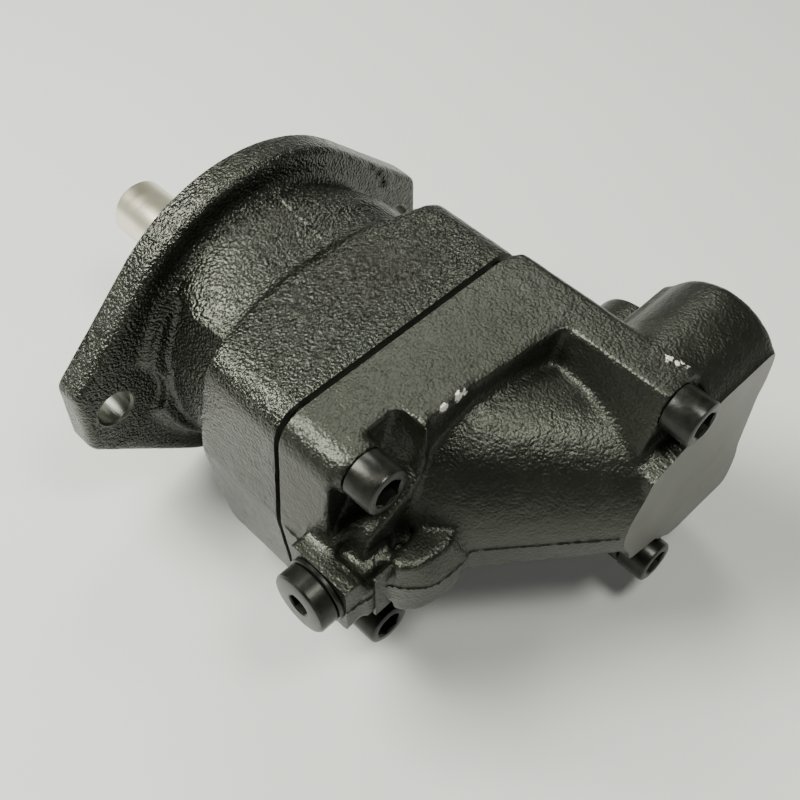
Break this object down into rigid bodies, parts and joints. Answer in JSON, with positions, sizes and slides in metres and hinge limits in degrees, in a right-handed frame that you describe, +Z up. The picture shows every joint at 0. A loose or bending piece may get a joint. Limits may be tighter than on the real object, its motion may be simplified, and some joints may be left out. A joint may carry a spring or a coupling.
{
  "type": "bent-axis hydraulic pump",
  "caption": "Bent-axis hydraulic piston pump or motor with a two-bolt flange, keyed shaft, side ports and a full rotating group inside.",
  "frame": {"origin": "centre of the mounting face of the two-bolt flange, on the drive shaft's axis", "axes": "+X runs rearwards along the shaft's axis, +Y is the side the barrel bends to and the ports face, +Z is up, away from the bend plane"},
  "size_m": [0.2583, 0.182, 0.142],
  "materials": {
    "casting": "gloss black paint over pebbled sand-cast iron",
    "black_oxide": "oiled black oxide on alloy steel",
    "washer": "painted steel ring with a bonded rubber lip",
    "shaft_steel": "ground and oiled, warm tint",
    "bearing_steel": "ground and honed",
    "gear_steel": "nitrided, satin",
    "bronze": "lapped bearing bronze",
    "rubber": "moulded nitrile, matt"
  },
  "bodies": {
    "casing": {"bearing_housing": "casting", "barrel_housing": "casting", "housing_seal_ring": "rubber", "housing_screw_1": "black_oxide", "housing_screw_2": "black_oxide", "housing_screw_3": "black_oxide", "housing_screw_4": "black_oxide", "drain_plug": "black_oxide", "drain_plug_washer": "washer", "shaft_seal": "rubber", "seal_circlip": "black_oxide", "front_bearing_cup": "bearing_steel", "rear_bearing_cup": "bearing_steel", "barrel_needle_cup": "bearing_steel", "valve_plate": "bronze"},
    "shaft": {"drive_shaft": "shaft_steel", "shaft_key": "shaft_steel", "bearing_lock_nut": "bearing_steel", "bearing_spacer": "bearing_steel", "front_bearing_cone": "bearing_steel", "rear_bearing_cone": "bearing_steel", "ring_gear": "gear_steel"},
    "barrel": {"cylinder_barrel": "gear_steel", "timing_gear": "gear_steel", "centre_pin": "gear_steel", "barrel_spring": "gear_steel"},
    "piston_1": {"piston_1": "gear_steel", "piston_ring_1": "gear_steel"},
    "piston_2": {"piston_2": "gear_steel", "piston_ring_2": "gear_steel"},
    "piston_3": {"piston_3": "gear_steel", "piston_ring_3": "gear_steel"},
    "piston_4": {"piston_4": "gear_steel", "piston_ring_4": "gear_steel"},
    "piston_5": {"piston_5": "gear_steel", "piston_ring_5": "gear_steel"},
    "front_rollers": {"front_bearing_rollers": "bearing_steel"},
    "rear_rollers": {"rear_bearing_rollers": "bearing_steel"},
    "needles": {"barrel_needles": "bearing_steel"}
  },
  "joints": [
    {"name": "shaft_spin", "type": "hinge", "parent": "casing", "child": "shaft", "pos_m": [0, 0, 0], "axis": [1, 0, 0], "continuous": true},
    {"name": "barrel_spin", "type": "hinge", "parent": "casing", "child": "barrel", "pos_m": [0.105, 0, 0], "axis": [0.766, 0.6428, 0], "continuous": true},
    {"name": "front_rollers_spin", "type": "hinge", "parent": "casing", "child": "front_rollers", "pos_m": [0.02, 0, 0], "axis": [1, 0, 0], "continuous": true},
    {"name": "rear_rollers_spin", "type": "hinge", "parent": "casing", "child": "rear_rollers", "pos_m": [0.072, 0, 0], "axis": [1, 0, 0], "continuous": true},
    {"name": "needles_spin", "type": "hinge", "parent": "casing", "child": "needles", "pos_m": [0.105, 0, 0], "axis": [0.766, 0.6428, 0], "continuous": true},
    {"name": "piston_1_ball", "type": "hinge", "parent": "shaft", "child": "piston_1", "pos_m": [0.105, 0.018, 0], "axis": [1, 0, 0], "continuous": true},
    {"name": "piston_2_ball", "type": "hinge", "parent": "shaft", "child": "piston_2", "pos_m": [0.105, 0.00556, 0.01712], "axis": [1, 0, 0], "continuous": true},
    {"name": "piston_3_ball", "type": "hinge", "parent": "shaft", "child": "piston_3", "pos_m": [0.105, -0.01456, 0.01058], "axis": [1, 0, 0], "continuous": true},
    {"name": "piston_4_ball", "type": "hinge", "parent": "shaft", "child": "piston_4", "pos_m": [0.105, -0.01456, -0.01058], "axis": [1, 0, 0], "continuous": true},
    {"name": "piston_5_ball", "type": "hinge", "parent": "shaft", "child": "piston_5", "pos_m": [0.105, 0.00556, -0.01712], "axis": [1, 0, 0], "continuous": true}
  ],
  "couplings": [
    {"joint": "barrel_spin", "follows": "shaft_spin", "ratio": 1},
    {"joint": "front_rollers_spin", "follows": "shaft_spin", "ratio": 0.44},
    {"joint": "rear_rollers_spin", "follows": "shaft_spin", "ratio": 0.45},
    {"joint": "needles_spin", "follows": "shaft_spin", "ratio": 0.468},
    {"joint": "piston_1_ball", "follows": "shaft_spin", "ratio": -1},
    {"joint": "piston_2_ball", "follows": "shaft_spin", "ratio": -1},
    {"joint": "piston_3_ball", "follows": "shaft_spin", "ratio": -1},
    {"joint": "piston_4_ball", "follows": "shaft_spin", "ratio": -1},
    {"joint": "piston_5_ball", "follows": "shaft_spin", "ratio": -1}
  ]
}
